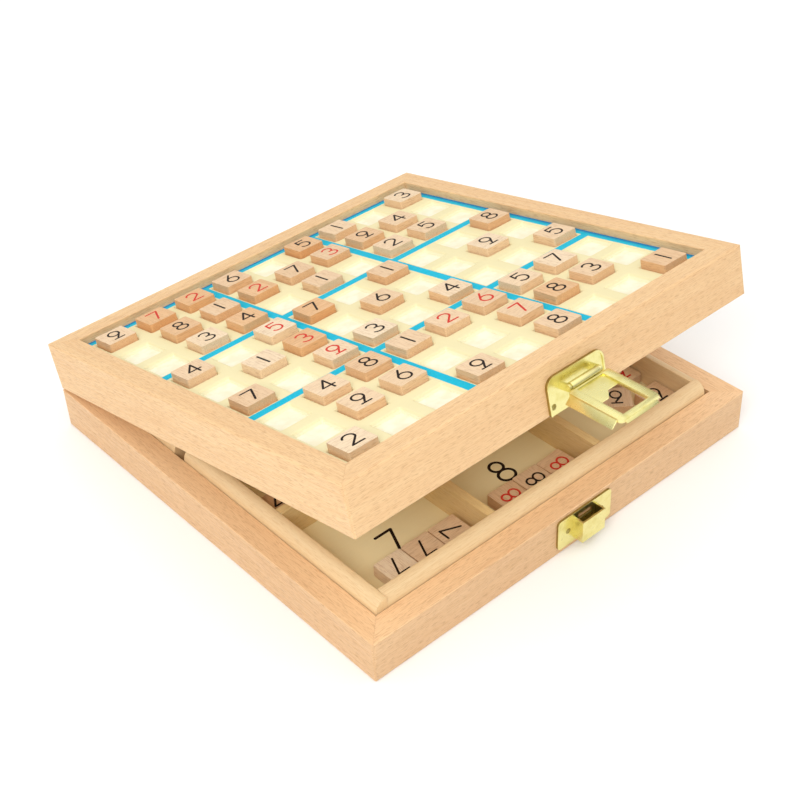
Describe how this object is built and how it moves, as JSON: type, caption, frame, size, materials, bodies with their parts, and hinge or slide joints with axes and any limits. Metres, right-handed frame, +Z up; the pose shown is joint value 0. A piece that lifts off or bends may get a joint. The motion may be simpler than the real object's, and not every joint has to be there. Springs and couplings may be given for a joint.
{
  "type": "sudoku board",
  "caption": "Shallow square wooden box with a latch; its hinged lid is a sunk playing board with recesses and its base has compartments, all for loose number tiles.",
  "frame": {"origin": "middle of the base's underside, on the surface that the box stands on", "axes": "+Z up, -Y towards the front with the latch, +Y towards the hinges, +X to the right of a player at the front"},
  "size_m": [0.22, 0.2525, 0.0929],
  "materials": {
    "beech": "satin lacquered beech",
    "pale_wood": "plain pale wood",
    "board_cream": "satin cream lacquer with printed blue lines",
    "board_white": "satin white lacquer",
    "floor_print": "matt, printed numerals",
    "brass": "polished pressed sheet",
    "tile_wood": "sanded beech with printed digit"
  },
  "bodies": {
    "base": {"base_front_rail": "beech", "base_back_rail": "beech", "base_left_rail": "beech", "base_right_rail": "beech", "bottom_panel": "pale_wood", "floor_board": "floor_print", "front_strip": "pale_wood", "back_strip": "pale_wood", "left_strips": "pale_wood", "right_strips": "pale_wood", "divider_left": "pale_wood", "divider_right": "pale_wood", "divider_front": "pale_wood", "divider_back": "pale_wood", "keeper": "brass", "keeper_nails": "brass", "hinge_base_leaves": "brass", "hinge_pins": "brass", "hinge_base_screws": "brass"},
    "lid": {"lid_front_rail": "beech", "lid_back_rail": "beech", "lid_left_rail": "beech", "lid_right_rail": "beech", "board_backing": "board_white", "board_grid": "board_cream", "hinge_lid_leaves": "brass", "hinge_lid_screws": "brass", "latch_plate": "brass", "latch_nails": "brass", "latch_pin": "brass"},
    "hasp": {"hasp": "brass"},
    "board_ones": {"board_ones": "tile_wood"},
    "board_twos": {"board_twos": "tile_wood"},
    "board_threes": {"board_threes": "tile_wood"},
    "board_fours": {"board_fours": "tile_wood"},
    "board_fives": {"board_fives": "tile_wood"},
    "board_sixes": {"board_sixes": "tile_wood"},
    "board_sevens": {"board_sevens": "tile_wood"},
    "board_eights": {"board_eights": "tile_wood"},
    "board_nines": {"board_nines": "tile_wood"},
    "tray_ones": {"tray_ones": "tile_wood"},
    "tray_twos": {"tray_twos": "tile_wood"},
    "tray_threes": {"tray_threes": "tile_wood"},
    "tray_fours": {"tray_fours": "tile_wood"},
    "tray_fives": {"tray_fives": "tile_wood"},
    "tray_sixes": {"tray_sixes": "tile_wood"},
    "tray_sevens": {"tray_sevens": "tile_wood"},
    "tray_eights": {"tray_eights": "tile_wood"},
    "tray_nines": {"tray_nines": "tile_wood"}
  },
  "joints": [
    {"name": "lid_hinge", "type": "hinge", "parent": "base", "child": "lid", "pos_m": [0, 0.1125, 0.0206], "axis": [-1, 0, 0], "range_deg": [-13, 147]},
    {"name": "hasp_hinge", "type": "hinge", "parent": "lid", "child": "hasp", "pos_m": [0.0048, -0.10706, 0.08268], "axis": [-1, 0, 0], "range_deg": [-80, 80]},
    {"name": "board_ones_lift", "type": "slide", "parent": "lid", "child": "board_ones", "axis": [0, 0.225, 0.9744], "range_m": [0, 0.012]},
    {"name": "board_twos_lift", "type": "slide", "parent": "lid", "child": "board_twos", "axis": [0, 0.225, 0.9744], "range_m": [0, 0.012]},
    {"name": "board_threes_lift", "type": "slide", "parent": "lid", "child": "board_threes", "axis": [0, 0.225, 0.9744], "range_m": [0, 0.012]},
    {"name": "board_fours_lift", "type": "slide", "parent": "lid", "child": "board_fours", "axis": [0, 0.225, 0.9744], "range_m": [0, 0.012]},
    {"name": "board_fives_lift", "type": "slide", "parent": "lid", "child": "board_fives", "axis": [0, 0.225, 0.9744], "range_m": [0, 0.012]},
    {"name": "board_sixes_lift", "type": "slide", "parent": "lid", "child": "board_sixes", "axis": [0, 0.225, 0.9744], "range_m": [0, 0.012]},
    {"name": "board_sevens_lift", "type": "slide", "parent": "lid", "child": "board_sevens", "axis": [0, 0.225, 0.9744], "range_m": [0, 0.012]},
    {"name": "board_eights_lift", "type": "slide", "parent": "lid", "child": "board_eights", "axis": [0, 0.225, 0.9744], "range_m": [0, 0.012]},
    {"name": "board_nines_lift", "type": "slide", "parent": "lid", "child": "board_nines", "axis": [0, 0.225, 0.9744], "range_m": [0, 0.012]},
    {"name": "tray_ones_lift", "type": "slide", "parent": "base", "child": "tray_ones", "axis": [0, 0, 1], "range_m": [0, 0.016]},
    {"name": "tray_twos_lift", "type": "slide", "parent": "base", "child": "tray_twos", "axis": [0, 0, 1], "range_m": [0, 0.016]},
    {"name": "tray_threes_lift", "type": "slide", "parent": "base", "child": "tray_threes", "axis": [0, 0, 1], "range_m": [0, 0.016]},
    {"name": "tray_fours_lift", "type": "slide", "parent": "base", "child": "tray_fours", "axis": [0, 0, 1], "range_m": [0, 0.016]},
    {"name": "tray_fives_lift", "type": "slide", "parent": "base", "child": "tray_fives", "axis": [0, 0, 1], "range_m": [0, 0.016]},
    {"name": "tray_sixes_lift", "type": "slide", "parent": "base", "child": "tray_sixes", "axis": [0, 0, 1], "range_m": [0, 0.016]},
    {"name": "tray_sevens_lift", "type": "slide", "parent": "base", "child": "tray_sevens", "axis": [0, 0, 1], "range_m": [0, 0.016]},
    {"name": "tray_eights_lift", "type": "slide", "parent": "base", "child": "tray_eights", "axis": [0, 0, 1], "range_m": [0, 0.016]},
    {"name": "tray_nines_lift", "type": "slide", "parent": "base", "child": "tray_nines", "axis": [0, 0, 1], "range_m": [0, 0.016]}
  ]
}
